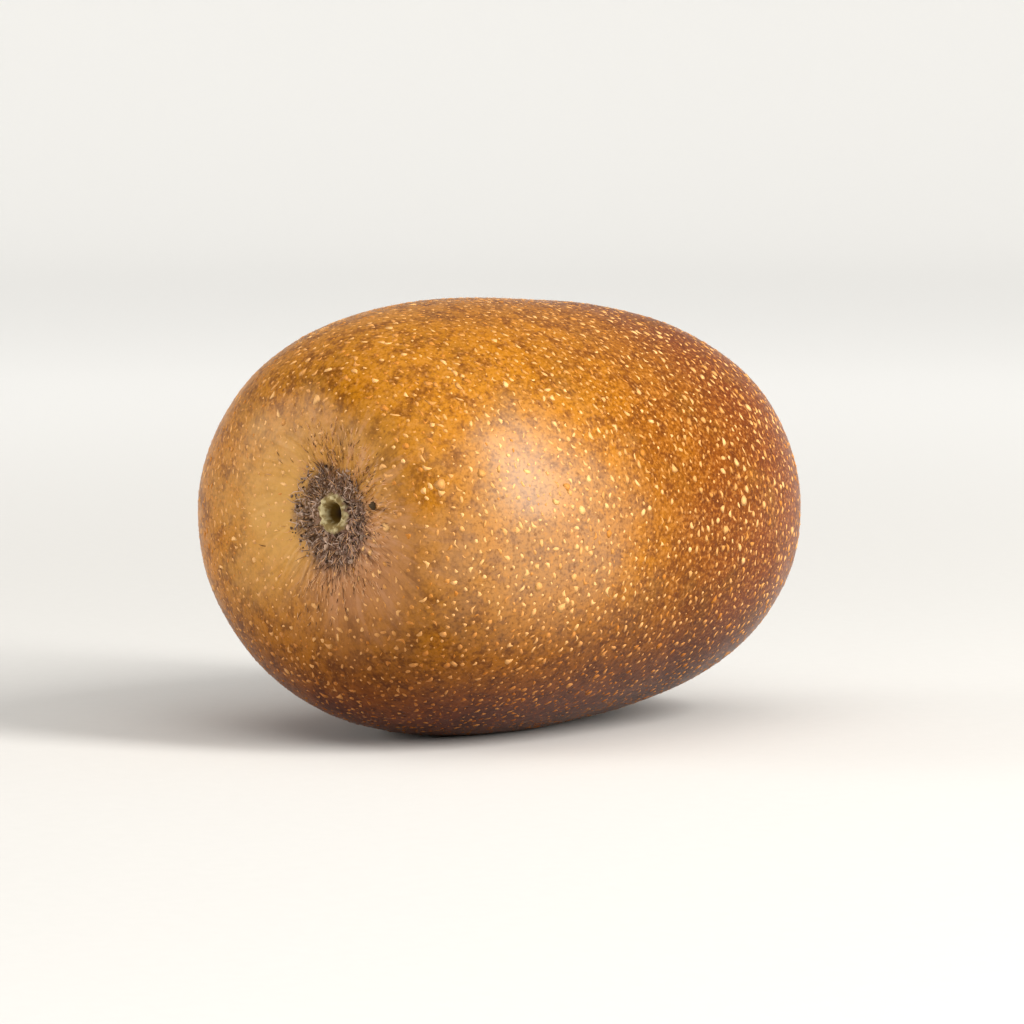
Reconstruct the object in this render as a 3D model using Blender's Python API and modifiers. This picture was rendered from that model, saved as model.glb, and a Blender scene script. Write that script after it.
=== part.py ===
"""Golden kiwi fruit, whole, lying on its flatter side.

Lengths are in metres and +Z is up. The long axis runs along X: the stem end is at -X, and
the blossom end, where the flower was, is at +X. The origin is on the surface it rests on,
under the middle of the fruit. The whole fruit is one solid.
"""

import math

import bmesh
import bpy

# Driving dimensions of the smooth outline.
LENGTH = 0.070
WIDTH = 0.055
HEIGHT = 0.050

# Exponents of the outline. An ellipse has 2 for both: more belly makes the middle of the length
# straighter, and more bluntness gives an end a flatter face.
BELLY = 2.4
STEM_BLUNTNESS = 4.4
BLOSSOM_BLUNTNESS = 3.8

# How much thicker the stem end is than the middle, and how much thinner the blossom end is.
TAPER = 0.044

# The belly is flat where the fruit's weight rests on it.
REST_SPOT_DEPTH = 0.00035

# Share of the section's radius within which the rings turn from oval to round.
ROUND_WITHIN = 0.6

# Stem end: a pit in a raised collar, in a shallow basin, a little to one side of the axis.
STEM_OFFSET_Y = -0.0058
STEM_OFFSET_Z = 0.0024
BASIN_RADIUS = 0.0095
BASIN_DEPTH = 0.0009
COLLAR_RADIUS = 0.0021
COLLAR_HALF_WIDTH = 0.0010
COLLAR_HEIGHT = 0.0007
PIT_RADIUS = 0.0018
PIT_DEPTH = 0.0011

# Blossom end: a low beak with a dimple in its tip.
BEAK_RADIUS = 0.0060
BEAK_HEIGHT = 0.0010
DIMPLE_RADIUS = 0.0016
DIMPLE_DEPTH = 0.0006

# Resolution: stations along the outline, drawn together at both ends, and steps round it.
STATIONS = 46
POLE_CROWDING = 0.85
REACH_HALVINGS = 40
ROUND_STEPS = 56
MERGE_DISTANCE = 0.00001

CUTTER_MARGIN = 0.010
SKIN_COLOUR = (0.42, 0.19, 0.035, 1.0)
SKIN_ROUGHNESS = 0.5

HALF_LENGTH = LENGTH / 2
HALF_WIDTH = WIDTH / 2
HALF_HEIGHT = HEIGHT / 2 + REST_SPOT_DEPTH / 2
MEAN_RADIUS = (HALF_WIDTH + HALF_HEIGHT) / 2


def clear_scene():
    """Remove whatever objects the scene starts with."""
    for item in list(bpy.data.objects):
        bpy.data.objects.remove(item, do_unlink=True)


def new_collection(name):
    """A collection linked to the scene."""
    collection = bpy.data.collections.new(name)
    bpy.context.scene.collection.children.link(collection)
    return collection


def bump(share):
    """A smooth hill: 1 at share 0, and 0 from share 1 outwards."""
    return max(0.0, 1.0 - share * share) ** 2


def smoothstep(share):
    """0 below 0, 1 above 1, and a smooth rise between them."""
    share = min(1.0, max(0.0, share))
    return share * share * (3.0 - 2.0 * share)


def stem_relief(radius):
    """How far the stem end stands out of the smooth outline, at a distance from the scar."""
    basin = -BASIN_DEPTH * bump(radius / BASIN_RADIUS)
    collar = COLLAR_HEIGHT * bump((radius - COLLAR_RADIUS) / COLLAR_HALF_WIDTH)
    pit = -PIT_DEPTH * bump(radius / PIT_RADIUS)
    return basin + collar + pit


def blossom_relief(radius):
    """How far the blossom end stands out of the smooth outline."""
    beak = BEAK_HEIGHT * bump(radius / BEAK_RADIUS)
    dimple = -DIMPLE_DEPTH * bump(radius / DIMPLE_RADIUS)
    return beak + dimple


def outline_reach(along, across, bluntness):
    """How far out the outline lies in a direction, as a share of the half length and radius."""
    inside, outside = 0.0, 2.0
    for _ in range(REACH_HALVINGS):
        middle = (inside + outside) / 2
        if (middle * along) ** BELLY + (middle * across) ** bluntness < 1.0:
            inside = middle
        else:
            outside = middle
    return inside


def outline_point(station):
    """Place along the axis and radius of the turned outline, for a station from 0 to 1."""
    angle = math.pi * station - POLE_CROWDING * math.sin(math.tau * station) / 2
    along = abs(math.cos(angle))
    across = math.sin(angle)
    side = -1.0 if angle < math.pi / 2 else 1.0
    bluntness = STEM_BLUNTNESS if side < 0.0 else BLOSSOM_BLUNTNESS
    reach = outline_reach(along, across, bluntness)
    place = side * along * reach
    radius = across * reach * (1.0 - TAPER * place) * MEAN_RADIUS
    relief = stem_relief(radius) if side < 0.0 else blossom_relief(radius)
    return place * HALF_LENGTH + side * relief, radius


def turned_body():
    """The round body: the outline turned once about X with a Screw modifier."""
    points = [outline_point(index / STATIONS) for index in range(1, STATIONS)]
    stem_pole = (-HALF_LENGTH - stem_relief(0.0), 0.0)
    blossom_pole = (HALF_LENGTH + blossom_relief(0.0), 0.0)
    outline = [stem_pole, *points, blossom_pole]
    mesh = bpy.data.meshes.new("outline")
    vertices = [(along, 0.0, radius) for along, radius in outline]
    edges = [(index, index + 1) for index in range(STATIONS)]
    mesh.from_pydata(vertices, edges, [])
    turned = bpy.data.objects.new("outline", mesh)
    bpy.context.scene.collection.objects.link(turned)
    screw = turned.modifiers.new("Turn", "SCREW")
    screw.axis = "X"
    screw.steps = ROUND_STEPS
    screw.render_steps = ROUND_STEPS
    screw.use_merge_vertices = True
    screw.merge_threshold = MERGE_DISTANCE
    bpy.context.view_layer.update()
    evaluated = turned.evaluated_get(bpy.context.evaluated_depsgraph_get())
    body = bpy.data.meshes.new_from_object(evaluated)
    bpy.data.objects.remove(turned, do_unlink=True)
    bpy.data.meshes.remove(mesh)
    return body


def shape_section(mesh):
    """Flatten the round body to its oval section and move the stem's rings off the axis."""
    solid = bmesh.new()
    solid.from_mesh(mesh)
    for vertex in solid.verts:
        share = math.hypot(vertex.co.y, vertex.co.z) / MEAN_RADIUS
        oval = smoothstep(share / ROUND_WITHIN)
        vertex.co.y *= 1.0 + (HALF_WIDTH / MEAN_RADIUS - 1.0) * oval
        vertex.co.z *= 1.0 + (HALF_HEIGHT / MEAN_RADIUS - 1.0) * oval
        if vertex.co.x < 0.0:
            vertex.co.y += STEM_OFFSET_Y * bump(share)
            vertex.co.z += STEM_OFFSET_Z * bump(share)
    middle = (min(v.co.x for v in solid.verts) + max(v.co.x for v in solid.verts)) / 2
    bmesh.ops.translate(solid, verts=solid.verts, vec=(-middle, 0.0, 0.0))
    bmesh.ops.recalc_face_normals(solid, faces=solid.faces)
    solid.to_mesh(mesh)
    solid.free()
    mesh.shade_smooth()


def skin_material():
    """The golden-brown skin."""
    material = bpy.data.materials.new("kiwi_skin")
    material.use_nodes = True
    shader = material.node_tree.nodes["Principled BSDF"]
    shader.inputs["Base Color"].default_value = SKIN_COLOUR
    shader.inputs["Roughness"].default_value = SKIN_ROUGHNESS
    shader.inputs["Metallic"].default_value = 0.0
    return material


def surface_cutter(collection):
    """A slab whose top is the surface at z = 0 that the fruit rests on."""
    bpy.ops.mesh.primitive_cube_add(size=1.0)
    slab = bpy.context.object
    slab.name = "surface_cutter"
    for owner in list(slab.users_collection):
        owner.objects.unlink(slab)
    collection.objects.link(slab)
    slab.scale = (LENGTH + CUTTER_MARGIN, WIDTH + CUTTER_MARGIN, CUTTER_MARGIN)
    slab.location.z = -CUTTER_MARGIN / 2
    slab.hide_render = True
    slab.display_type = "WIRE"
    return slab


def kiwi_fruit(collection, slab):
    """The whole fruit, with its rest spot cut flat."""
    mesh = turned_body()
    shape_section(mesh)
    mesh.name = "kiwi_fruit"
    mesh.materials.append(skin_material())
    fruit = bpy.data.objects.new("kiwi_fruit", mesh)
    collection.objects.link(fruit)
    fruit.location.z = HALF_HEIGHT - REST_SPOT_DEPTH
    cut = fruit.modifiers.new("Rest spot", "BOOLEAN")
    cut.operation = "DIFFERENCE"
    cut.object = slab
    return fruit


def main():
    clear_scene()
    parts = new_collection("golden_kiwi_fruit")
    cutters = new_collection("cutters")
    kiwi_fruit(parts, surface_cutter(cutters))


main()
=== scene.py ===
"""Looks of a whole golden kiwi fruit, lying on its side.

Lengths are in metres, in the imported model's frame: +X runs from the stem end to the blossom
end, +Z is up, and the fruit rests on z = 0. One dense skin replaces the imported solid. Flecks,
hairs, crumbs round the scar and the flower's dried remains are small solids set on that skin.
"""

import math
from collections import namedtuple
from itertools import combinations

import bpy
import numpy as np
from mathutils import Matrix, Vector


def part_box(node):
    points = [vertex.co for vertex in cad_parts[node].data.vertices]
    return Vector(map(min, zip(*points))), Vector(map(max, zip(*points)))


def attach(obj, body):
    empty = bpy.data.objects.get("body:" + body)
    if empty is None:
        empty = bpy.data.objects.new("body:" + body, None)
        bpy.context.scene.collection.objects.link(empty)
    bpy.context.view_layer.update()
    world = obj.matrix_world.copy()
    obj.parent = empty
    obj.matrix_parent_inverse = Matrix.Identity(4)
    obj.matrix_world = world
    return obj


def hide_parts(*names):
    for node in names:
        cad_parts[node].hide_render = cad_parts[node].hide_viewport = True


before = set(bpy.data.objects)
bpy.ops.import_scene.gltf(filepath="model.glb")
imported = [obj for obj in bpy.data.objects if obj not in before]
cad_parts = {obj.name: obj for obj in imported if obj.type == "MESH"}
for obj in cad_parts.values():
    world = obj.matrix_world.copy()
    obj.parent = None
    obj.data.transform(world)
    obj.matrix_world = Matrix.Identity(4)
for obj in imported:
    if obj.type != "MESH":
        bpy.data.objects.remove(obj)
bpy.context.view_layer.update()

LOW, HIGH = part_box("kiwi_fruit")
MM = 0.001

# The smooth outline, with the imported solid's exponents, taper and offsets. The relief of the ends
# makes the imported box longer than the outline, by about END_RELIEF at each.
REST_SPOT_DEPTH = 0.35 * MM
END_RELIEF = 0.4 * MM
HALF_LENGTH = (HIGH.x - LOW.x) / 2 - END_RELIEF
HALF_WIDTH = (HIGH.y - LOW.y) / 2
HALF_HEIGHT = (HIGH.z - LOW.z + REST_SPOT_DEPTH) / 2
MEAN_RADIUS = (HALF_WIDTH + HALF_HEIGHT) / 2
CENTRE = Vector((0.0, 0.0, HIGH.z - HALF_HEIGHT))
BELLY = 2.4
STEM_BLUNTNESS = 4.4
BLOSSOM_BLUNTNESS = 3.8
TAPER = 0.044
ROUND_WITHIN = 0.6
STEM_OFFSET_Y = -5.8 * MM
STEM_OFFSET_Z = 2.4 * MM

# Skin mesh: stations along the outline, drawn together at both ends, and steps round it.
STATIONS = 254
ROUND_STEPS = 384
POLE_CROWDING = 0.86
REACH_HALVINGS = 50

# Stem end: a shallow basin, and in it a ragged collar round a pit, ringed by scurf and wrinkles.
# The waves are how many go once round the scar.
BASIN_RADIUS = 9.5 * MM
BASIN_DEPTH = 0.9 * MM
COLLAR_RADIUS = 1.75 * MM
COLLAR_HALF_WIDTH = 0.72 * MM
COLLAR_HEIGHT = 0.62 * MM
COLLAR_WAVES = (2, 3, 5, 9, 14)
COLLAR_RADIUS_VARIES = 0.10
COLLAR_HEIGHT_VARIES = 0.30
PIT_RADIUS = 1.45 * MM
PIT_DEPTH = 1.3 * MM
SCURF_RADIUS = 3.7 * MM
SCURF_HALF_WIDTH = 2.2 * MM
SCURF_HEIGHT = 0.16 * MM
SCURF_GRAIN = 0.75 * MM
SCURF_FINE_GRAIN = 0.38 * MM
WRINKLE_RADIUS = 8.0 * MM
WRINKLE_HALF_WIDTH = 5.5 * MM
WRINKLE_HEIGHT = 0.07 * MM
WRINKLE_WAVES = (19, 31, 43, 58, 71)
WRINKLE_TWIST_PER_MM = 0.05
WRINKLES_LOST_TOWARDS_Y = 0.8

# Blossom end: a low beak with a dimple in its tip.
BEAK_RADIUS = 6.0 * MM
BEAK_HEIGHT = 1.0 * MM
DIMPLE_RADIUS = 1.6 * MM
DIMPLE_DEPTH = 0.6 * MM
BEAK_WRINKLE_RADIUS = 3.5 * MM
BEAK_WRINKLE_HALF_WIDTH = 3.0 * MM
BEAK_WRINKLE_WAVES = (11, 17, 26, 39)
BEAK_SCURF_RADIUS = 2.6 * MM
BEAK_SCURF_SHARE = 0.7

# Relief over the whole skin, as wavelength and height. It fades out towards the scar.
SWELLS = (34.0 * MM, 0.22 * MM)
DENTS = (9.0 * MM, 0.045 * MM)
GRAIN = (2.1 * MM, 0.012 * MM)
CALM_WITHIN_MM = 7.0

# What stem_mm and blossom_mm hold on the half of the fruit away from that pole.
FAR_AWAY_MM = 99.0

# Flecks: how far apart, and the size of a middling one before it is varied.
FLECK_SPACING = 1.12 * MM
FLECK_CANDIDATES = 75000
FLECK_SIDES = 8
FLECK_HALF_LENGTH = 0.45 * MM
FLECK_HALF_WIDTH = 0.305 * MM
FLECK_LONGEST = 0.68 * MM
FLECK_HEIGHT = 0.045 * MM
FLECKS_FROM_STEM_MM = 6.0
FLECKS_FROM_BLOSSOM_MM = 2.6

# The other marks on the skin.
HAIR_CANDIDATES = 60000
CRUMB_CANDIDATES = 90000
FUZZ_COUNT = 7000
STEM_HAIR_COUNT = 1900
CRUMB_COUNT = 760
CRUMB_SIZE = 0.125 * MM
CRUMB_SPACING = 0.22 * MM
STYLE_COUNT = 16
STRAND_COUNT = 330
NODULE_OFFSET = (0.6 * MM, -7.0 * MM, 1.4 * MM)
NODULE_RADIUS = 0.40 * MM
NODULE_TONE = 0.12

# How far the marks' lower sides are sunk in the skin, and how high the lowest of them lie.
SUNK = 0.02 * MM
REST_SPOT_CLEARANCE = 0.25 * MM

# Margin round each small solid in its cell of the bake map, as a share of the cell.
BAKE_MARGIN = 0.06

# Camera, placed by angles round the fruit in degrees: azimuth 0 is at -Y, and 90 is at +X.
VIEW_AZIMUTH = -46.0
VIEW_ELEVATION = 5.0
VIEW_DISTANCE = 0.62
LENS = 185.0

# Colour of every lamp, as linear shares.
LAMP_WHITE = (1.0, 0.985, 0.96)

# The middle of a painted highlight on the flank, a paler and glossier patch, in millimetres.
PAINTED_HIGHLIGHT_SPOT = (-20.0, -23.0, 25.0)


# The skin, and how far each of its vertices lies from the stem's pole and the blossom's.
Surface = namedtuple("Surface", "skin stem_mm blossom_mm")


def rgb(red, green, blue):
    """A colour given as screen values from 0 to 255, as linear light."""
    shares = (value / 255.0 for value in (red, green, blue))
    linear = [s / 12.92 if s <= 0.04045 else ((s + 0.055) / 1.055) ** 2.4 for s in shares]
    return (*linear, 1.0)


def bump(share):
    """A smooth hill: 1 at share 0, and 0 from share 1 outwards."""
    return np.clip(1.0 - share * share, 0.0, None) ** 2


def smoothstep(share):
    """0 below 0, 1 above 1, and a smooth rise between them."""
    share = np.clip(share, 0.0, 1.0)
    return share * share * (3.0 - 2.0 * share)


def waves(points, wavelength, seed, count=14):
    """Smooth random relief, mostly from -1 to 1: plane waves of about that length, summed."""
    random = np.random.default_rng(seed)
    total = np.zeros(len(points))
    for _ in range(count):
        direction = random.normal(size=3)
        direction /= np.linalg.norm(direction)
        turns = (points @ direction) * random.uniform(0.7, 1.4) / wavelength
        total += np.sin(math.tau * (turns + random.uniform()))
    return total / math.sqrt(2.0 * count)


def ring_waves(turn, frequencies, seed):
    """Random relief round a pole: a sum of waves in the angle round it."""
    random = np.random.default_rng(seed)
    total = np.zeros_like(turn)
    for frequency in frequencies:
        height = random.uniform(0.6, 1.0)
        total += height * np.sin(frequency * turn + random.uniform(0.0, math.tau))
    return total / math.sqrt(len(frequencies))


# ---------------------------------------------------------------- skin


def outline_reach(along, across, bluntness):
    """How far out the outline lies in each direction, as a share of half length and radius."""
    inside = np.zeros_like(along)
    outside = np.full_like(along, 2.0)
    for _ in range(REACH_HALVINGS):
        middle = (inside + outside) / 2
        within = (middle * along) ** BELLY + (middle * across) ** bluntness < 1.0
        inside = np.where(within, middle, inside)
        outside = np.where(within, outside, middle)
    return inside


def stem_relief(radius, turn):
    """How far the stem end stands out of the smooth outline."""
    ragged = ring_waves(turn, COLLAR_WAVES, seed=11)
    collar_radius = COLLAR_RADIUS * (1.0 + COLLAR_RADIUS_VARIES * ragged)
    collar_height = COLLAR_HEIGHT * (1.0 + COLLAR_HEIGHT_VARIES * ragged)
    collar = collar_height * bump((radius - collar_radius) / COLLAR_HALF_WIDTH)
    pit = -PIT_DEPTH * bump(radius / PIT_RADIUS)
    basin = -BASIN_DEPTH * bump(radius / BASIN_RADIUS)
    twist = WRINKLE_TWIST_PER_MM * radius / MM
    wrinkles = ring_waves(turn + twist, WRINKLE_WAVES, seed=12)
    ring = bump((radius - WRINKLE_RADIUS) / WRINKLE_HALF_WIDTH)
    lined = 1.0 - WRINKLES_LOST_TOWARDS_Y * np.clip(np.cos(turn), 0.0, 1.0)
    return basin + collar + pit + WRINKLE_HEIGHT * ring * lined * wrinkles


def blossom_relief(radius, turn):
    """How far the blossom end stands out of the smooth outline."""
    beak = BEAK_HEIGHT * bump(radius / BEAK_RADIUS)
    dimple = -DIMPLE_DEPTH * bump(radius / DIMPLE_RADIUS)
    ring = bump((radius - BEAK_WRINKLE_RADIUS) / BEAK_WRINKLE_HALF_WIDTH)
    return beak + dimple + WRINKLE_HEIGHT * ring * ring_waves(turn, BEAK_WRINKLE_WAVES, seed=13)


def skin_surface():
    """Points of the skin in rings from pole to pole, with how far each lies from either pole.

    Also returned is the angle of each round the axis: 0 towards +Y, and a quarter turn up.
    """
    station = np.linspace(0.0, 1.0, STATIONS + 1)
    angle = math.pi * station - POLE_CROWDING * np.sin(math.tau * station) / 2
    side = np.where(station < 0.5, -1.0, 1.0)
    along = np.abs(np.cos(angle))
    across = np.abs(np.sin(angle))
    across[[0, -1]] = 0.0
    bluntness = np.where(side < 0.0, STEM_BLUNTNESS, BLOSSOM_BLUNTNESS)
    reach = outline_reach(along, across, bluntness)
    place = (side * along * reach)[:, None]
    radius = (across * reach)[:, None] * (1.0 - TAPER * place) * MEAN_RADIUS
    turn = np.linspace(0.0, math.tau, ROUND_STEPS, endpoint=False)[None, :]
    side = side[:, None]
    radius_grid = np.broadcast_to(radius, (STATIONS + 1, ROUND_STEPS))
    turn_grid = np.broadcast_to(turn, radius_grid.shape)
    relief = np.where(
        side < 0.0, stem_relief(radius_grid, turn_grid), blossom_relief(radius_grid, turn_grid)
    )
    share = radius / MEAN_RADIUS
    oval = smoothstep(share / ROUND_WITHIN)
    towards_stem = np.where(side < 0.0, bump(share), 0.0)
    x = place * HALF_LENGTH + side * relief
    y = radius * np.cos(turn) * (1.0 + (HALF_WIDTH / MEAN_RADIUS - 1.0) * oval)
    z = radius * np.sin(turn) * (1.0 + (HALF_HEIGHT / MEAN_RADIUS - 1.0) * oval)
    y = y + STEM_OFFSET_Y * towards_stem
    z = z + STEM_OFFSET_Z * towards_stem
    points = np.stack([x, y, z], axis=-1)
    stem_mm = np.where(side < 0.0, radius_grid / MM, FAR_AWAY_MM)
    blossom_mm = np.where(side > 0.0, radius_grid / MM, FAR_AWAY_MM)
    return points, stem_mm, blossom_mm, turn_grid


def drop_pole_copies(grid):
    """Flattens a grid to one row a vertex, with each pole's ring of equal points as one."""
    flat = grid.reshape((-1,) + grid.shape[2:])
    return np.concatenate([flat[:1], flat[ROUND_STEPS:-ROUND_STEPS], flat[-1:]])


def ring_faces(ring_count, steps):
    """Faces of a closed skin: a fan at each pole and quads between the rings."""
    last = 1 + ring_count * steps
    faces = []
    for step in range(steps):
        following = (step + 1) % steps
        faces.append((0, 1 + following, 1 + step))
        faces.append((last, last - steps + step, last - steps + following))
    for ring in range(ring_count - 1):
        start = 1 + ring * steps
        for step in range(steps):
            following = (step + 1) % steps
            upper, lower = start + step, start + following
            faces.append((upper, lower, lower + steps, upper + steps))
    return faces


def set_attribute(mesh, name, values, kind="FLOAT"):
    """Stores one value a vertex on the mesh, for its material to read."""
    attribute = mesh.attributes.new(name, kind, "POINT")
    field = "vector" if kind == "FLOAT_VECTOR" else "value"
    attribute.data.foreach_set(field, np.ascontiguousarray(values, dtype=np.float32).ravel())


def read_points(mesh):
    """The mesh's vertices and their normals."""
    count = len(mesh.vertices)
    points = np.empty(count * 3, dtype=np.float32)
    mesh.vertices.foreach_get("co", points)
    normals = np.empty(count * 3, dtype=np.float32)
    mesh.vertex_normals.foreach_get("vector", normals)
    return points.reshape(-1, 3).astype(float), normals.reshape(-1, 3).astype(float)


def fine_relief(points, stem_mm, blossom_mm):
    """Swells, dents and grain over the whole skin, and crumbly scurf at both ends."""
    relief = np.zeros(len(points))
    for seed, (wavelength, height) in enumerate((SWELLS, DENTS, GRAIN), start=21):
        relief += height * waves(points, wavelength, seed)
    calm = smoothstep(stem_mm / CALM_WITHIN_MM)
    scurf = bump((stem_mm * MM - SCURF_RADIUS) / SCURF_HALF_WIDTH)
    scurf += BEAK_SCURF_SHARE * bump(blossom_mm * MM / BEAK_SCURF_RADIUS)
    crumbly = waves(points, SCURF_GRAIN, seed=31) + 0.6 * waves(points, SCURF_FINE_GRAIN, seed=32)
    return relief * calm + SCURF_HEIGHT * scurf * crumbly


def add_skin():
    """The whole skin as one closed mesh, with its scar, basin, beak and fine relief."""
    points, stem_mm, blossom_mm, turn = (drop_pole_copies(grid) for grid in skin_surface())
    middle = (points[:, 0].min() + points[:, 0].max()) / 2
    points += np.array([-middle, 0.0, CENTRE.z])
    mesh = bpy.data.meshes.new("skin")
    mesh.from_pydata(points.tolist(), [], ring_faces(STATIONS - 1, ROUND_STEPS))
    mesh.update()
    points, normals = read_points(mesh)
    points += normals * fine_relief(points, stem_mm, blossom_mm)[:, None]
    points[:, 2] = np.maximum(points[:, 2], 0.0)
    mesh.vertices.foreach_set("co", points.astype(np.float32).ravel())
    set_attribute(mesh, "stem_mm", stem_mm)
    set_attribute(mesh, "blossom_mm", blossom_mm)
    heading = np.stack([np.cos(turn), np.sin(turn), np.zeros_like(turn)], axis=-1)
    set_attribute(mesh, "heading", heading, "FLOAT_VECTOR")
    mesh.shade_smooth()
    mesh.update()
    skin = bpy.data.objects.new("kiwi_skin", mesh)
    bpy.context.scene.collection.objects.link(skin)
    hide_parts("kiwi_fruit")
    return Surface(skin, stem_mm, blossom_mm)


# ---------------------------------------------------------------- places on the skin


class Places:
    """Points drawn evenly by area on the skin, each with its normal and distances."""

    def __init__(self, surface, count, seed):
        mesh = surface.skin.data
        points, normals = read_points(mesh)
        mesh.calc_loop_triangles()
        corners = np.empty(len(mesh.loop_triangles) * 3, dtype=np.int32)
        mesh.loop_triangles.foreach_get("vertices", corners)
        corners = corners.reshape(-1, 3)
        first, second, third = (points[corners[:, k]] for k in range(3))
        areas = np.linalg.norm(np.cross(second - first, third - first), axis=1) / 2
        random = np.random.default_rng(seed)
        chosen = corners[random.choice(len(corners), size=count, p=areas / areas.sum())]
        shares = random.dirichlet((1.0, 1.0, 1.0), size=count)
        self.points = np.einsum("nk,nkd->nd", shares, points[chosen])
        self.normals = np.einsum("nk,nkd->nd", shares, normals[chosen])
        self.normals /= np.linalg.norm(self.normals, axis=1)[:, None]
        self.stem_mm = (shares * surface.stem_mm[chosen]).sum(axis=1)
        self.blossom_mm = (shares * surface.blossom_mm[chosen]).sum(axis=1)

    def keep(self, chosen):
        """Leaves only the chosen places."""
        for name in ("points", "normals", "stem_mm", "blossom_mm"):
            setattr(self, name, getattr(self, name)[chosen])
        return self

    def first(self, count):
        """Leaves only that many, the ones drawn first."""
        return self.keep(np.arange(len(self.points)) < count)

    def spread(self, spacing):
        """Leaves places at least that far apart. spacing holds one distance a place."""
        cell = spacing.max()
        cells = {}
        kept = []
        for index, point in enumerate(self.points):
            key = tuple((point // cell).astype(int))
            near = [
                other
                for i in (-1, 0, 1)
                for j in (-1, 0, 1)
                for k in (-1, 0, 1)
                for other in cells.get((key[0] + i, key[1] + j, key[2] + k), ())
            ]
            gaps = self.points[near] - point
            if near and (gaps * gaps).sum(axis=1).min() < spacing[index] ** 2:
                continue
            cells.setdefault(key, []).append(index)
            kept.append(index)
        return self.keep(kept)

    def off_the_rest_spot(self):
        """Leaves out the places that lie on, or touch, the surface below."""
        return self.keep(self.points[:, 2] > REST_SPOT_CLEARANCE)

    def towards_blossom(self):
        """0 near the stem end, and 1 well towards the blossom end."""
        return smoothstep((self.points[:, 0] - LOW.x - 18.0 * MM) / (34.0 * MM))

    def clear_of_stem(self):
        """0 near the scar, and 1 well away from it."""
        return smoothstep((self.stem_mm - 5.0) / 14.0)

    def outward_from(self, pole):
        """Unit directions across the axis, from a pole to each place."""
        outward = self.points - pole
        outward[:, 0] = 0.0
        return outward / np.linalg.norm(outward, axis=1)[:, None]


def poles(skin):
    """The middle of the stem's scar and the blossom end's tip."""
    points = read_points(skin.data)[0]
    return points[0], points[-1]


def along_surface(direction, normals):
    """The direction laid onto the surface, at unit length."""
    flat = direction - (direction * normals).sum(axis=1)[:, None] * normals
    return flat / np.maximum(np.linalg.norm(flat, axis=1)[:, None], 1e-12)


def turned(direction, normals, angle):
    """The direction on the surface, turned about the normal by an angle."""
    other = np.cross(normals, direction)
    return direction * np.cos(angle)[:, None] + other * np.sin(angle)[:, None]


# ---------------------------------------------------------------- small solids on the skin


def joined_mesh(name, vertices, faces, face_uvs, tone, body_count):
    """One mesh of many equal small solids, with a cell of the bake map and a tone for each."""
    per_body = vertices.shape[1]
    mesh = bpy.data.meshes.new(name)
    starts = np.arange(body_count) * per_body
    all_faces = [tuple(int(start + corner) for corner in face) for start in starts for face in faces]
    mesh.from_pydata(vertices.reshape(-1, 3).tolist(), [], all_faces)
    across = math.ceil(math.sqrt(body_count))
    local = np.concatenate([np.array(uv, dtype=float) for uv in face_uvs])
    local = BAKE_MARGIN + (1.0 - 2.0 * BAKE_MARGIN) * local
    index = np.arange(body_count)
    corner = np.stack([index % across, index // across], axis=-1)[:, None, :]
    placed = (corner + local[None, :, :]) / across
    layer = mesh.uv_layers.new(name="OFBake")
    layer.uv.foreach_set("vector", placed.astype(np.float32).ravel())
    set_attribute(mesh, "tone", np.repeat(tone, per_body))
    mesh.shade_smooth()
    made = bpy.data.objects.new(name, mesh)
    bpy.context.scene.collection.objects.link(made)
    return made


def fleck_sizes(places, random):
    """Half length, half width and height of each fleck: smaller near the stem."""
    count = len(places.points)
    size = (0.79 + 0.15 * places.towards_blossom()) * (0.75 + 0.25 * places.clear_of_stem())
    size = size * random.lognormal(0.0, 0.26, count)
    length = FLECK_HALF_LENGTH * size * random.lognormal(0.05, 0.36, count)
    width = FLECK_HALF_WIDTH * size * random.lognormal(0.0, 0.18, count)
    length = np.clip(length, width, FLECK_LONGEST)
    height = FLECK_HEIGHT * random.uniform(0.7, 1.2, count) * size
    return length, width, height


def fleck_directions(places, random):
    """Which way each fleck runs: round the fruit, but outwards from the stem near it."""
    count = len(places.points)
    axis = np.tile([1.0, 0.0, 0.0], (count, 1))
    round_fruit = np.cross(places.normals, along_surface(axis, places.normals))
    lean = random.normal(0.0, 0.55, count) + 0.25
    lean += math.pi / 2 * (1.0 - smoothstep((places.stem_mm - 8.0) / 9.0))
    run = turned(round_fruit, places.normals, lean)
    return run, np.cross(places.normals, run)


def fleck_tones(places, random):
    """From 0, dark, to 1, pale: paler near the stem, and paler still on the painted highlight."""
    clear_of_stem = places.clear_of_stem()
    from_painted_highlight = np.linalg.norm(places.points - MM * np.array(PAINTED_HIGHLIGHT_SPOT), axis=1)
    on_painted_highlight = smoothstep((20.0 * MM - from_painted_highlight) / (13.0 * MM))
    tone = 0.35 + 0.12 * places.towards_blossom() * clear_of_stem
    tone += random.normal(0.0, 0.2, len(places.points))
    # Paler near the stem, and paler on the painted highlight on the flank.
    tone += np.maximum(0.45 * (1.0 - clear_of_stem), 0.3 * on_painted_highlight)
    return np.clip(tone, 0.0, 1.0)


def dome_faces(turn):
    """Faces of a low dome, whose last corner is its top, and their places on the bake map."""
    sides = len(turn)
    flat = np.stack([0.5 + 0.5 * np.cos(turn), 0.5 + 0.5 * np.sin(turn)], axis=-1)
    faces, face_uvs = [], []
    for step in range(sides):
        following = (step + 1) % sides
        faces.append((step, following, sides))
        face_uvs.append((flat[step], flat[following], (0.5, 0.5)))
    under = tuple(reversed(range(sides)))
    faces.append(under)
    face_uvs.append([flat[step] for step in under])
    return faces, face_uvs


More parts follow.
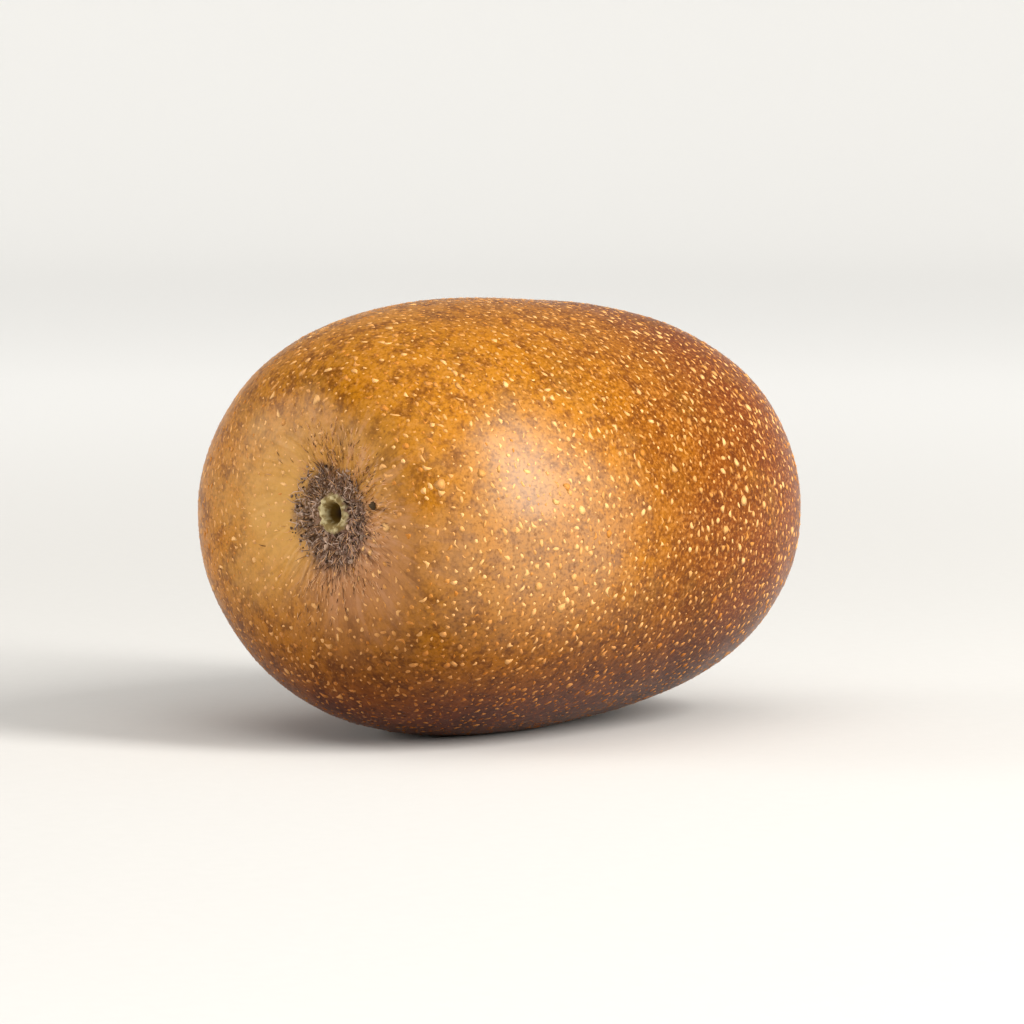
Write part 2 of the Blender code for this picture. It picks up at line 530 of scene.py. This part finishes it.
def add_flecks(places, seed):
    """Pale raised flecks: low domes whose outline is an oval, a dash or a comma."""
    random = np.random.default_rng(seed)
    count = len(places.points)
    length, width, height = fleck_sizes(places, random)
    run, beside = fleck_directions(places, random)
    bend = random.normal(0.0, 0.42, count)
    ragged = 1.0 + random.normal(0.0, 0.09, (count, FLECK_SIDES))
    turn = np.linspace(0.0, math.tau, FLECK_SIDES, endpoint=False)
    lengthwise = np.cos(turn)[None, :] * ragged
    crosswise = np.sin(turn)[None, :] * ragged
    bow = bend[:, None] * length[:, None] * (lengthwise * lengthwise - 0.5)
    run_step = lengthwise * length[:, None]
    side_step = crosswise * width[:, None] + bow
    rim = places.points[:, None, :] - SUNK * places.normals[:, None, :]
    rim = rim + run_step[:, :, None] * run[:, None, :] + side_step[:, :, None] * beside[:, None, :]
    top = places.points + height[:, None] * places.normals
    top = top - (0.35 * bend * length)[:, None] * beside
    vertices = np.concatenate([rim, top[:, None, :]], axis=1)
    faces, face_uvs = dome_faces(turn)
    return joined_mesh("flecks", vertices, faces, face_uvs, fleck_tones(places, random), count)


def add_hairs(name, places, direction, length, thickness, lift, curl, tone):
    """Tapering three-sided hairs that leave the skin at an angle and bend back towards it."""
    count = len(places.points)
    sides = 3
    run = along_surface(direction, places.normals)
    beside = np.cross(places.normals, run)

    def spine(share):
        """The hair's middle line at a share of its length."""
        rise = np.sin(lift) * (share - 0.55 * share * share)
        return (
            places.points
            + (length * share * np.cos(lift))[:, None] * run
            + (length * rise)[:, None] * places.normals
            + (length * curl * share * share)[:, None] * beside
        )

    corners = []
    for share, thinning, sunk in ((0.0, 1.0, SUNK), (0.55, 0.8, 0.0)):
        centre = spine(share) - sunk * places.normals
        for side in range(sides):
            angle = math.tau * side / sides
            offset = math.cos(angle) * beside + math.sin(angle) * places.normals
            corners.append(centre + (thickness * thinning / 2)[:, None] * offset)
    vertices = np.stack([*corners, spine(1.0)], axis=1)
    faces, face_uvs = [(2, 1, 0)], [((0.0, 0.0), (0.04, 0.0), (0.0, 0.04))]
    for side in range(sides):
        following = (side + 1) % sides
        low, high = side / sides, (side + 1) / sides
        faces.append((side, following, sides + following, sides + side))
        face_uvs.append(((0.05, low), (0.05, high), (0.6, high), (0.6, low)))
        faces.append((sides + side, sides + following, 2 * sides))
        face_uvs.append(((0.6, low), (0.6, high), (1.0, (low + high) / 2)))
    return joined_mesh(name, vertices, faces, face_uvs, tone, count)


def crumb_shape():
    """Corners and faces of an icosahedron of radius 1, which a crumb is made from."""
    golden = (1.0 + math.sqrt(5.0)) / 2
    corners = []
    for a in (-1.0, 1.0):
        for b in (-golden, golden):
            corners += [(0.0, a, b), (a, b, 0.0), (b, 0.0, a)]
    corners = np.array(corners) / math.hypot(1.0, golden)
    longest_edge = 1.2
    faces = []
    for i, j, k in combinations(range(len(corners)), 3):
        a, b, c = corners[[i, j, k]]
        if max(np.linalg.norm(a - b), np.linalg.norm(b - c), np.linalg.norm(c - a)) < longest_edge:
            outward = np.dot(np.cross(b - a, c - a), a) > 0.0
            faces.append((i, j, k) if outward else (i, k, j))
    return corners, faces


def add_crumbs(name, places, size, tone, seed):
    """Uneven crumbs of dry scurf, half sunk in the skin."""
    random = np.random.default_rng(seed)
    count = len(places.points)
    corners, faces = crumb_shape()
    stretch = random.uniform(0.6, 1.4, (count, 1, 3))
    uneven = 1.0 + random.normal(0.0, 0.16, (count, len(corners), 1))
    spin = np.linalg.qr(random.normal(size=(count, 3, 3)))[0]
    spin *= np.sign(np.linalg.det(spin))[:, None, None]
    shaped = np.einsum("nij,nkj->nki", spin, corners[None] * stretch * uneven)
    vertices = places.points[:, None, :] + shaped * size[:, None, None]
    columns, rows = 5, 4
    face_uvs = []
    for index in range(len(faces)):
        left, low = index % columns / columns, index // columns / rows
        face_uvs.append(((left, low), (left + 0.9 / columns, low), (left, low + 0.9 / rows)))
    return joined_mesh(name, vertices, faces, face_uvs, tone, count)


# ---------------------------------------------------------------- materials

# Colours of the skin's body.
OCHRE = rgb(200, 130, 18)
RED_BROWN = rgb(130, 60, 8)
GOLD = rgb(206, 130, 8)
OLIVE = rgb(140, 90, 18)
MOTTLE_BROWN = rgb(108, 50, 4)
PAINTED_HIGHLIGHT_COLOUR = rgb(206, 166, 122)
SANDY_GRAIN = rgb(224, 152, 66)
DARK_GRAIN = rgb(96, 46, 6)
SANDY_DOT = rgb(230, 164, 88)
PORE = rgb(112, 58, 16)

# Colours round the stem.
HALO = rgb(230, 170, 84)
ROSY_HALO = rgb(200, 138, 98)
CREAMY_HALO = rgb(242, 188, 100)
PALE_STREAK = rgb(230, 172, 122)
CREASE = rgb(112, 62, 28)
SCURF_DARK, SCURF_PALE = rgb(58, 40, 28), rgb(150, 122, 108)
COLLAR_DARK, COLLAR_PALE = rgb(160, 138, 84), rgb(240, 226, 168)
PIT_WALL, PIT_FLOOR = rgb(98, 74, 22), rgb(58, 42, 36)

# Colours of the blossom end.
BEAK_RIM = rgb(186, 124, 64)
BEAK_TIP = rgb(74, 44, 24)

# Darkest and palest colour of each kind of mark.
FLECK_COLOURS = (rgb(192, 120, 40), rgb(244, 188, 120))
DOWN_COLOURS = (rgb(150, 92, 44), rgb(206, 156, 104))
HAIR_COLOURS = (rgb(76, 44, 24), rgb(236, 182, 132))
CRUMB_COLOURS = (rgb(56, 38, 24), rgb(204, 172, 148))
NODULE_COLOURS = (rgb(70, 54, 34), rgb(130, 110, 88))
STRAND_COLOURS = (rgb(104, 80, 66), rgb(222, 192, 172))
STYLE_COLOURS = (rgb(48, 30, 18), rgb(120, 84, 50))

# What colours are multiplied by, as linear shares: the whole skin, then each towards the underside
# as painted shade.
TONE = (0.74, 0.71, 0.76, 1.0)
SKIN_PAINTED_SHADE = (0.26, 0.10, 0.02, 1.0)
FLECK_PAINTED_SHADE = (0.60, 0.45, 0.32, 1.0)

# Tint of the skin's gloss, as linear shares.
SPECULAR_TINT = (1.0, 0.75, 0.45, 1.0)

# Directions across the axis from the stem's scar, as shares of +Y and +Z.
AWAY_FROM_Y = (-1.0, 0.0, 0.0)
LOWER_SIDE = (-0.6, -0.8, 0.0)
SMOOTH_SIDE = (1.0, 0.1, 0.0)

# Size of the blotches and of the grain on the marks, in millimetres.
BLOTCH_MM = 6.5
MARK_GRAIN_MM = 0.2


class Graph:
    """Short calls that build one material's nodes."""

    def __init__(self, name):
        self.material = bpy.data.materials.new(name)
        self.material.use_nodes = True
        self.tree = self.material.node_tree
        self.shader = self.tree.nodes["Principled BSDF"]

    def node(self, kind, inputs, **settings):
        """A node with its settings and its inputs, each a value or another node's output."""
        made = self.tree.nodes.new(kind)
        for key, value in settings.items():
            setattr(made, key, value)
        for socket, value in inputs.items():
            if isinstance(value, bpy.types.NodeSocket):
                self.tree.links.new(value, made.inputs[socket])
            else:
                made.inputs[socket].default_value = value
        return made

    def set(self, **values):
        """Sets or links the shader's sockets."""
        for name, value in values.items():
            socket = self.shader.inputs[name.replace("_", " ")]
            if isinstance(value, bpy.types.NodeSocket):
                self.tree.links.new(value, socket)
            else:
                socket.default_value = value

    def place(self):
        """The point on the object, in millimetres."""
        point = self.node("ShaderNodeTexCoord", {}).outputs["Object"]
        scaled = self.node("ShaderNodeVectorMath", {0: point, 3: 1.0 / MM}, operation="SCALE")
        return scaled.outputs[0]

    def stored(self, name, output="Fac"):
        """A value that the mesh holds for each vertex."""
        return self.node("ShaderNodeAttribute", {}, attribute_name=name).outputs[output]

    def noise(self, vector, size_mm, detail=3.0, roughness=0.55, distortion=0.0):
        """Noise from 0 to 1 whose features are about that size."""
        inputs = {
            "Vector": vector,
            "Scale": 1.0 / size_mm,
            "Detail": detail,
            "Roughness": roughness,
            "Distortion": distortion,
        }
        return self.node("ShaderNodeTexNoise", inputs).outputs[0]

    def cells(self, vector, size_mm, randomness=1.0):
        """Distance to the nearest of scattered points, in cells of that size."""
        inputs = {"Vector": vector, "Scale": 1.0 / size_mm, "Randomness": randomness}
        return self.node("ShaderNodeTexVoronoi", inputs).outputs["Distance"]

    def rise(self, value, start, end):
        """0 up to start, 1 from end, and smooth between them; start may be above end."""
        inputs = {"Value": value, "From Min": start, "From Max": end}
        made = self.node("ShaderNodeMapRange", inputs, interpolation_type="SMOOTHSTEP")
        return made.outputs[0]

    def math(self, operation, first, second):
        """One sum of two values."""
        return self.node("ShaderNodeMath", {0: first, 1: second}, operation=operation).outputs[0]

    def plus(self, first, second):
        return self.math("ADD", first, second)

    def minus(self, first, second):
        return self.math("SUBTRACT", first, second)

    def times(self, first, second):
        return self.math("MULTIPLY", first, second)

    def swing(self, value, width):
        """A value from 0 to 1 as one that swings to either side of 0, width wide in all."""
        return self.times(self.minus(value, 0.5), width)

    def mix(self, share, first, second, blend="MIX"):
        """Two colours, mixed by a share."""
        inputs = {0: share, 6: first, 7: second}
        made = self.node("ShaderNodeMix", inputs, data_type="RGBA", blend_type=blend)
        return made.outputs[2]

    def vector_math(self, operation, first, second, output=0):
        """One sum of two vectors."""
        made = self.node("ShaderNodeVectorMath", {0: first, 1: second}, operation=operation)
        return made.outputs[output]

    def facing(self, vector, direction):
        """How far a vector points one way: 1 along it, and 0 across it or backwards."""
        return self.rise(self.vector_math("DOT_PRODUCT", vector, direction, "Value"), 0.0, 1.0)

    def blotches(self, place):
        """Broad uneven blotches, the same on the skin and on its flecks."""
        return self.noise(place, BLOTCH_MM, detail=4.0, roughness=0.6)

    def bump(self, layers):
        """A normal from several heights, each a value and its relief in millimetres."""
        normal = None
        for height, relief_mm in layers:
            inputs = {"Height": height, "Distance": relief_mm * MM, "Strength": 1.0}
            if normal is not None:
                inputs["Normal"] = normal
            normal = self.node("ShaderNodeBump", inputs).outputs[0]
        return normal


def paint_underside_shade(g, colour, z, blotch, shade):
    """Multiplies the colour by a painted shade towards the underside, with an uneven edge."""
    return g.mix(g.rise(g.plus(z, g.swing(blotch, 10.0)), 22.0, 1.0), colour, shade, "MULTIPLY")


class SkinPatterns:
    """The places and patterns that the skin's colours are made from. Places are in millimetres."""

    def __init__(self, g):
        self.place = g.place()
        parts = g.node("ShaderNodeSeparateXYZ", {0: self.place})
        self.x, self.z = parts.outputs[0], parts.outputs[2]
        self.broad = g.noise(self.place, 17.0, detail=2.0)
        self.blotch = g.blotches(self.place)
        self.mottle = g.noise(self.place, 1.9, detail=5.0, roughness=0.65)
        self.fine = g.noise(self.place, 0.42, detail=3.0, roughness=0.6)
        self.pores = g.rise(g.cells(self.place, 1.7), 0.15, 0.07)
        self.stem_mm = g.stored("stem_mm")
        self.ragged_stem_mm = g.plus(self.stem_mm, g.swing(self.mottle, 5.0))
        self.blossom_mm = g.stored("blossom_mm")
        self.heading = g.stored("heading", "Vector")
        # Distance from the painted highlight on the flank, with an uneven edge.
        from_spot = g.vector_math("DISTANCE", self.place, PAINTED_HIGHLIGHT_SPOT, "Value")
        self.from_painted_highlight = g.plus(from_spot, g.swing(self.blotch, 14.0))


def body_colour(g, skin):
    """Ochre at the stem end and red-brown at the far end, mottled, grained and dotted."""
    far = g.rise(g.plus(skin.x, g.swing(skin.broad, 30.0)), -26.0, 20.0)
    colour = g.mix(far, OCHRE, RED_BROWN)
    gold = g.times(g.rise(skin.blotch, 0.50, 0.66), g.rise(far, 1.0, 0.15))
    colour = g.mix(g.times(gold, 0.65), colour, GOLD)
    colour = g.mix(g.times(g.rise(skin.blotch, 0.49, 0.32), 0.55), colour, OLIVE)
    colour = g.mix(g.times(g.rise(skin.mottle, 0.45, 0.63), 0.66), colour, MOTTLE_BROWN)
    # Painted highlight: a paler patch on the flank.
    colour = g.mix(g.times(g.rise(skin.from_painted_highlight, 18.0, 5.0), 0.45), colour, PAINTED_HIGHLIGHT_COLOUR)
    colour = g.mix(g.times(g.rise(skin.fine, 0.50, 0.66), 0.42), colour, SANDY_GRAIN)
    dark = g.times(g.rise(skin.fine, 0.50, 0.34), g.plus(0.42, g.times(far, 0.2)))
    colour = g.mix(dark, colour, DARK_GRAIN)
    dots = g.rise(g.cells(skin.place, 0.85), 0.30, 0.14)
    colour = g.mix(g.times(dots, 0.34), colour, SANDY_DOT)
    return g.mix(g.times(skin.pores, 0.55), colour, PORE)


def spokes(g, skin):
    """Noise drawn out into lines that run outwards from the scar."""
    outwards = g.node("ShaderNodeCombineXYZ", {2: g.times(skin.stem_mm, 0.12)}).outputs[0]
    around = g.vector_math("MULTIPLY", skin.heading, (9.0, 9.0, 1.0))
    return g.noise(g.vector_math("ADD", around, outwards), 1.0, detail=4.0, roughness=0.7)


def halo_colour(g, skin, colour):
    """A pale halo round the stem: rosy below, creamy on the smooth side, streaked elsewhere."""
    # The halo is the skin's own paler colour; where it reaches further towards -Y it is partly a
    # painted highlight.
    uneven = g.minus(g.swing(skin.blotch, 14.0), g.times(g.facing(skin.heading, AWAY_FROM_Y), 4.0))
    halo = g.rise(g.plus(skin.ragged_stem_mm, uneven), 18.0, 5.0)
    lower = g.facing(skin.heading, LOWER_SIDE)
    smooth = g.facing(skin.heading, SMOOTH_SIDE)
    colour = g.mix(g.times(halo, 0.6), colour, HALO)
    colour = g.mix(g.times(halo, g.times(lower, 0.6)), colour, ROSY_HALO)
    colour = g.mix(g.times(halo, g.times(smooth, 0.7)), colour, CREAMY_HALO)
    streak = spokes(g, skin)
    lined = g.times(halo, g.minus(1.0, g.times(smooth, 0.8)))
    streaks = g.times(lined, g.rise(streak, 0.50, 0.62))
    colour = g.mix(g.times(streaks, 0.55), colour, PALE_STREAK)
    creases = g.times(lined, g.rise(streak, 0.47, 0.35))
    return g.mix(g.times(creases, 0.6), colour, CREASE)


def scurf_share(g, skin):
    """Where grey-brown scurf lies round the collar. It reaches further on the lower side."""
    lower = g.facing(skin.heading, LOWER_SIDE)
    return g.rise(g.minus(skin.ragged_stem_mm, g.times(lower, 1.3)), 6.6, 3.8)


def scar_colour(g, skin, scurf, colour):
    """The scurf, the cream collar and the dark pit over the rest."""
    grey = g.mix(g.rise(skin.fine, 0.36, 0.62), SCURF_DARK, SCURF_PALE)
    colour = g.mix(g.times(scurf, 0.85), colour, grey)
    collar = g.rise(g.plus(skin.stem_mm, g.times(skin.fine, 0.6)), 2.75, 2.35)
    cream = g.mix(g.rise(g.noise(skin.place, 0.9), 0.42, 0.6), COLLAR_DARK, COLLAR_PALE)
    colour = g.mix(collar, colour, cream)
    colour = g.mix(g.rise(skin.stem_mm, 1.45, 1.0), colour, PIT_WALL)
    return g.mix(g.rise(skin.stem_mm, 0.9, 0.3), colour, PIT_FLOOR)


def blossom_colour(g, skin, colour):
    """The blossom end over the rest: a dark brown tip with a paler ring round it."""
    rim = g.plus(skin.blossom_mm, g.swing(skin.mottle, 3.0))
    colour = g.mix(g.times(g.rise(rim, 8.0, 3.5), 0.45), colour, BEAK_RIM)
    return g.mix(g.times(g.rise(rim, 3.4, 1.9), 0.9), colour, BEAK_TIP)


def skin_material():
    """Golden-brown skin with a soft gloss, glossier on the flank where a highlight is painted."""
    g = Graph("kiwi_skin")
    skin = SkinPatterns(g)
    scurf = scurf_share(g, skin)
    colour = halo_colour(g, skin, body_colour(g, skin))
    colour = scar_colour(g, skin, scurf, colour)
    colour = g.mix(1.0, blossom_colour(g, skin, colour), TONE, "MULTIPLY")
    # Painted shade: the skin darkens towards the underside.
    colour = paint_underside_shade(g, colour, skin.z, skin.blotch, SKIN_PAINTED_SHADE)
    rough = g.plus(g.plus(0.25, g.times(skin.mottle, 0.18)), g.times(scurf, 0.3))
    leather = g.noise(skin.place, 0.85, detail=4.0, roughness=0.6)
    normal = g.bump(((leather, 0.04), (skin.fine, 0.02), (skin.pores, -0.03)))
    g.set(Base_Color=colour, Roughness=rough, Normal=normal, IOR=1.5)
    g.set(Sheen_Weight=0.02, Sheen_Roughness=0.4, Sheen_Tint=rgb(255, 226, 200))
    g.set(Specular_IOR_Level=0.15, Specular_Tint=SPECULAR_TINT)
    gloss = g.times(g.rise(skin.from_painted_highlight, 26.0, 6.0), 0.24)
    g.set(Coat_Weight=gloss, Coat_Roughness=0.28)
    return g.material


def mark_material(name, colours, roughness, underside=None):
    """A dry mark whose colour runs from dark to pale with its own tone, unevenly.

    A painted shade given for the underside darkens the marks there, as it does the skin.
    """
    g = Graph(name)
    place = g.place()
    fine = g.noise(place, MARK_GRAIN_MM, detail=3.0)
    tone = g.plus(g.stored("tone"), g.swing(fine, 0.35))
    colour = g.mix(g.rise(tone, 0.0, 1.0), *colours)
    if underside is not None:
        # Painted shade: the marks darken towards the underside.
        z = g.node("ShaderNodeSeparateXYZ", {0: place}).outputs[2]
        colour = paint_underside_shade(g, colour, z, g.blotches(place), underside)
    rough = g.plus(roughness, g.swing(fine, 0.16))
    g.set(Base_Color=colour, Roughness=rough, Normal=g.bump(((fine, 0.02),)))
    g.set(Specular_IOR_Level=0.15)
    return g.material


def floor_material():
    """Plain pale paper, a little greyer near the fruit, where the lamps are brightest."""
    g = Graph("studio_paper")
    place = g.place()
    distance = g.vector_math("LENGTH", place, place, "Value")
    colour = g.mix(g.rise(distance, 120.0, 700.0), rgb(208, 206, 202), rgb(246, 245, 242))
    fine = g.noise(place, 2.0, detail=2.0)
    colour = g.mix(g.times(fine, 0.1), colour, rgb(236, 235, 232))
    g.set(Base_Color=colour, Roughness=0.9, Specular_IOR_Level=0.1)
    return g.material


# ---------------------------------------------------------------- the marks


def fleck_places(surface):
    """Where the flecks are: everywhere but the scar and the beak, sparser near the stem."""
    places = Places(surface, FLECK_CANDIDATES, seed=41).off_the_rest_spot()
    clear_of_stem = places.stem_mm > FLECKS_FROM_STEM_MM
    places.keep(clear_of_stem & (places.blossom_mm > FLECKS_FROM_BLOSSOM_MM))
    random = np.random.default_rng(42)
    loose = 1.0 + 0.25 * bump((places.stem_mm - FLECKS_FROM_STEM_MM) / 12.0)
    close = 0.86 + 0.14 * smoothstep((places.points[:, 0] + 12.0 * MM) / (24.0 * MM))
    spacing = FLECK_SPACING * loose * close * random.uniform(0.74, 1.2, len(places.points))
    return places.spread(spacing)


def add_fuzz(surface):
    """The faint down over the whole skin."""
    places = Places(surface, FUZZ_COUNT, seed=51).off_the_rest_spot()
    places.keep((places.stem_mm > 3.0) & (places.points[:, 2] > 1.5 * MM))
    count = len(places.points)
    random = np.random.default_rng(52)
    direction = random.normal(0.0, 0.6, (count, 3)) + np.array([0.7, 0.0, -0.25])
    length = MM * random.uniform(0.30, 0.62, count)
    thickness = np.full(count, 0.016 * MM)
    lift = random.uniform(0.35, 0.95, count)
    curl = random.normal(0.0, 0.22, count)
    tone = random.uniform(0.3, 1.0, count)
    return add_hairs("fuzz", places, direction, length, thickness, lift, curl, tone)


def stem_hair_places(surface, pole, random):
    """Thick near the scar and thinning outwards, with hardly any on the smooth side."""
    places = Places(surface, HAIR_CANDIDATES, seed=61)
    reach = places.stem_mm
    likely = np.where(reach < 7.0, 1.0, np.clip((13.0 - reach) / 6.0, 0.0, 1.0) ** 1.3)
    sideways = (places.points[:, 1] - pole[1]) / np.maximum(reach * MM, MM)
    smooth_side = smoothstep(np.clip(sideways, 0.0, 1.0) / 0.8)
    likely *= 1.0 - 0.97 * smooth_side * smoothstep((reach - 3.6) / 1.6)
    places.keep((reach > 2.5) & (random.uniform(size=len(reach)) < likely))
    return places.keep(random.permutation(len(places.points))[:STEM_HAIR_COUNT])


def add_stem_hairs(surface):
    """Dry hairs that spread out round the scar, longest at the edge of the scurf."""
    pole = poles(surface.skin)[0]
    random = np.random.default_rng(62)
    places = stem_hair_places(surface, pole, random)
    count = len(places.points)
    direction = places.outward_from(pole) + random.normal(0.0, 0.28, (count, 3))
    inner = bump((places.stem_mm - 4.5) / 4.5)
    length = MM * (0.70 + 0.55 * inner) * random.lognormal(0.0, 0.30, count)
    thickness = MM * random.uniform(0.055, 0.115, count)
    lift = random.uniform(0.12, 0.42, count) + 0.25 * inner
    curl = random.normal(0.0, 0.22, count)
    dark = random.uniform(size=count) < 0.38 + 0.2 * inner
    tone = np.where(dark, random.uniform(0.0, 0.35, count), random.uniform(0.6, 1.0, count))
    return add_hairs("stem_hairs", places, direction, length, thickness, lift, curl, tone)


def add_stem_crumbs(surface):
    """Dry crumbs round the collar, from near black to lavender grey."""
    places = Places(surface, CRUMB_CANDIDATES, seed=71)
    random = np.random.default_rng(72)
    reach = places.stem_mm
    likely = bump((reach - 3.4) / 3.4)
    places.keep((reach > 2.35) & (random.uniform(size=len(reach)) < likely))
    places.spread(np.full(len(places.points), CRUMB_SPACING)).first(CRUMB_COUNT)
    count = len(places.points)
    size = CRUMB_SIZE * random.lognormal(0.0, 0.38, count)
    tone = random.beta(0.8, 1.0, count)
    return add_crumbs("stem_crumbs", places, size, tone, seed=73)


def add_nodule(surface):
    """One dark, dry lump beyond the scurf."""
    places = Places(surface, HAIR_CANDIDATES, seed=75)
    target = poles(surface.skin)[0] + np.array(NODULE_OFFSET)
    places.keep([np.argmin(np.linalg.norm(places.points - target, axis=1))])
    return add_crumbs("nodule", places, np.array([NODULE_RADIUS]), np.array([NODULE_TONE]), seed=76)


def add_scurf_strands(surface):
    """Greyish strands of dry skin that lie tangled round the collar."""
    places = Places(surface, HAIR_CANDIDATES, seed=91)
    places.keep((places.stem_mm > 2.3) & (places.stem_mm < 5.6)).first(STRAND_COUNT)
    count = len(places.points)
    random = np.random.default_rng(92)
    direction = random.normal(size=(count, 3))
    length = MM * random.uniform(0.6, 1.7, count)
    thickness = MM * random.uniform(0.09, 0.17, count)
    lift = random.uniform(0.05, 0.35, count)
    curl = random.normal(0.0, 0.45, count)
    tone = random.uniform(0.0, 1.0, count)
    return add_hairs("scurf_strands", places, direction, length, thickness, lift, curl, tone)


def add_styles(surface):
    """What is left of the flower: dried styles in a small star at the blossom end."""
    places = Places(surface, HAIR_CANDIDATES, seed=81)
    places.keep(places.blossom_mm < 1.9).first(STYLE_COUNT)
    count = len(places.points)
    random = np.random.default_rng(82)
    outward = places.outward_from(poles(surface.skin)[1])
    direction = outward + random.normal(0.0, 0.35, (count, 3))
    length = MM * random.uniform(1.0, 2.2, count)
    thickness = MM * random.uniform(0.16, 0.28, count)
    lift = random.uniform(0.3, 1.0, count)
    curl = random.normal(0.0, 0.3, count)
    tone = random.uniform(0.0, 1.0, count)
    return add_hairs("dried_styles", places, direction, length, thickness, lift, curl, tone)


# ---------------------------------------------------------------- studio


def add_floor():
    """A round pale floor whose far edge curves up, so that it has no horizon from any side."""
    rings, steps = 40, 96
    flat_radius, rim_radius, rim_height = 1.3, 1.9, 0.45
    flat_share = 0.3
    points = [(0.0, 0.0, 0.0)]
    for ring in range(1, rings + 1):
        share = ring / rings
        if share <= flat_share:
            radius, height = flat_radius * share / flat_share, 0.0
        else:
            bend = (share - flat_share) / (1.0 - flat_share) * math.pi / 2
            radius = flat_radius + (rim_radius - flat_radius) * math.sin(bend)
            height = rim_height * (1.0 - math.cos(bend))
        for step in range(steps):
            turn = math.tau * step / steps
            points.append((radius * math.cos(turn), radius * math.sin(turn), height))
    faces = []
    for step in range(steps):
        following = (step + 1) % steps
        faces.append((0, 1 + step, 1 + following))
        for ring in range(rings - 1):
            inner = 1 + ring * steps
            outer = inner + steps
            faces.append((inner + step, outer + step, outer + following, inner + following))
    mesh = bpy.data.meshes.new("floor")
    mesh.from_pydata(points, [], faces)
    mesh.shade_smooth()
    mesh.materials.append(floor_material())
    floor = bpy.data.objects.new("floor", mesh)
    bpy.context.scene.collection.objects.link(floor)


def from_view(azimuth, elevation, distance):
    """A point round the fruit: azimuth 0 is in front of it at -Y, and 90 is at +X."""
    a, e = math.radians(azimuth), math.radians(elevation)
    offset = Vector((math.sin(a) * math.cos(e), -math.cos(a) * math.cos(e), math.sin(e)))
    return CENTRE + distance * offset


def aim(thing, target):
    """Turns a lamp or camera to face a point."""
    thing.rotation_euler = (target - thing.location).to_track_quat("-Z", "Y").to_euler()


def place_lamp(name, data, azimuth, elevation, distance):
    """Puts a white lamp round the fruit, facing it."""
    data.color = LAMP_WHITE
    lamp = bpy.data.objects.new(name, data)
    lamp.location = from_view(azimuth, elevation, distance)
    aim(lamp, CENTRE)
    bpy.context.scene.collection.objects.link(lamp)


def add_softbox(name, azimuth, elevation, distance, size, power):
    """An oblong soft lamp, its size as width and height in metres and its power in watts."""
    data = bpy.data.lights.new(name, "AREA")
    data.shape = "RECTANGLE"
    data.size, data.size_y = size
    data.energy = power
    place_lamp(name, data, azimuth, elevation, distance)


def add_sun(name, azimuth, elevation, strength, width):
    """Even light from a disc of sky that many degrees wide, on the floor and fruit alike."""
    data = bpy.data.lights.new(name, "SUN")
    data.energy = strength
    data.angle = math.radians(width)
    place_lamp(name, data, azimuth, elevation, distance=1.5)


def add_surroundings():
    """Even white light from all round."""
    world = bpy.data.worlds.new("studio")
    world.use_nodes = True
    background = world.node_tree.nodes["Background"]
    background.inputs["Color"].default_value = (1.0, 1.0, 1.0, 1.0)
    background.inputs["Strength"].default_value = 0.32
    bpy.context.scene.world = world
    bpy.context.scene.view_settings.view_transform = "Standard"


def add_camera():
    """The camera, at the chosen view and facing the fruit's centre."""
    data = bpy.data.cameras.new("camera")
    data.lens = LENS
    data.clip_end = 20.0
    camera = bpy.data.objects.new("camera", data)
    camera.location = from_view(VIEW_AZIMUTH, VIEW_ELEVATION, VIEW_DISTANCE)
    aim(camera, CENTRE)
    bpy.context.scene.collection.objects.link(camera)
    bpy.context.scene.camera = camera


def add_studio():
    """Floor, lamps, pale surroundings and the camera."""
    add_floor()
    add_sun("key", azimuth=-24.0, elevation=42.0, strength=0.3, width=35.0)
    add_sun("overhead", azimuth=VIEW_AZIMUTH, elevation=76.0, strength=1.25, width=70.0)
    add_softbox("window_lamp", 15.0, 30.0, distance=0.8, size=(0.2, 0.6), power=8.8)
    add_softbox("side_lamp", -140.0, 13.0, distance=0.8, size=(0.4, 0.3), power=2.8)
    add_surroundings()
    add_camera()


def finish_piece(piece, material):
    """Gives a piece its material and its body."""
    piece.data.materials.append(material)
    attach(piece, "root")


def main():
    surface = add_skin()
    flecks = add_flecks(fleck_places(surface), seed=43)
    fuzz = add_fuzz(surface)
    hairs = add_stem_hairs(surface)
    crumbs = add_stem_crumbs(surface)
    nodule = add_nodule(surface)
    strands = add_scurf_strands(surface)
    styles = add_styles(surface)
    finish_piece(surface.skin, skin_material())
    finish_piece(flecks, mark_material("fleck", FLECK_COLOURS, 0.53, FLECK_PAINTED_SHADE))
    finish_piece(fuzz, mark_material("down", DOWN_COLOURS, 0.7))
    finish_piece(hairs, mark_material("stem_hair", HAIR_COLOURS, 0.75))
    finish_piece(crumbs, mark_material("scurf_crumb", CRUMB_COLOURS, 0.8))
    finish_piece(nodule, mark_material("dry_lump", NODULE_COLOURS, 0.8))
    finish_piece(strands, mark_material("scurf_strand", STRAND_COLOURS, 0.8))
    finish_piece(styles, mark_material("dried_style", STYLE_COLOURS, 0.7))
    add_studio()


main()
